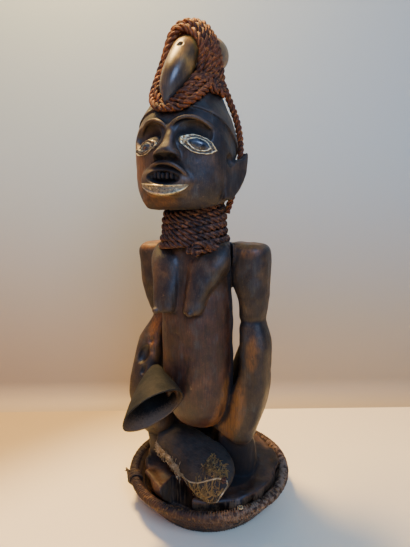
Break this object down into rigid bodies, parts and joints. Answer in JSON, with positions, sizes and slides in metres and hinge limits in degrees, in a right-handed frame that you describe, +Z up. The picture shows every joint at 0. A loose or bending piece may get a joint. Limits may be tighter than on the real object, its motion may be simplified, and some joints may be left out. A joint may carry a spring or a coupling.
{
  "type": "carved power figure",
  "caption": "Squatting carved wooden power figure with a bird's head lashed over its crown, rope round its neck, a cup at its side and a hide packet, set in a coiled basket tray.",
  "frame": {"origin": "middle of the tray's underside", "axes": "+Z up, -Y the way the face looks, +X the figure's own left"},
  "size_m": [0.249, 0.2824, 0.692],
  "materials": {
    "carved_wood": "dark brown patina, worn and dusty on top",
    "horn": "polished grey-brown horn of a beak",
    "rope": "reddish brown two-ply plant rope",
    "foil": "thin pale crumpled foil",
    "cup_shell": "matte grey-brown shell, dark inside",
    "hide": "dark dusty hide with pale fibres",
    "basketry": "coiled and stitched plant fibre"
  },
  "bodies": {
    "root": {"carved_figure": "carved_wood", "bird_head": "horn", "head_rope": "rope", "hanging_rope": "rope", "neck_rope": "rope", "left_eye_foil": "foil", "right_eye_foil": "foil", "lip_foil": "foil", "cup": "cup_shell", "hide_packet": "hide", "basket_tray": "basketry"}
  },
  "joints": []
}
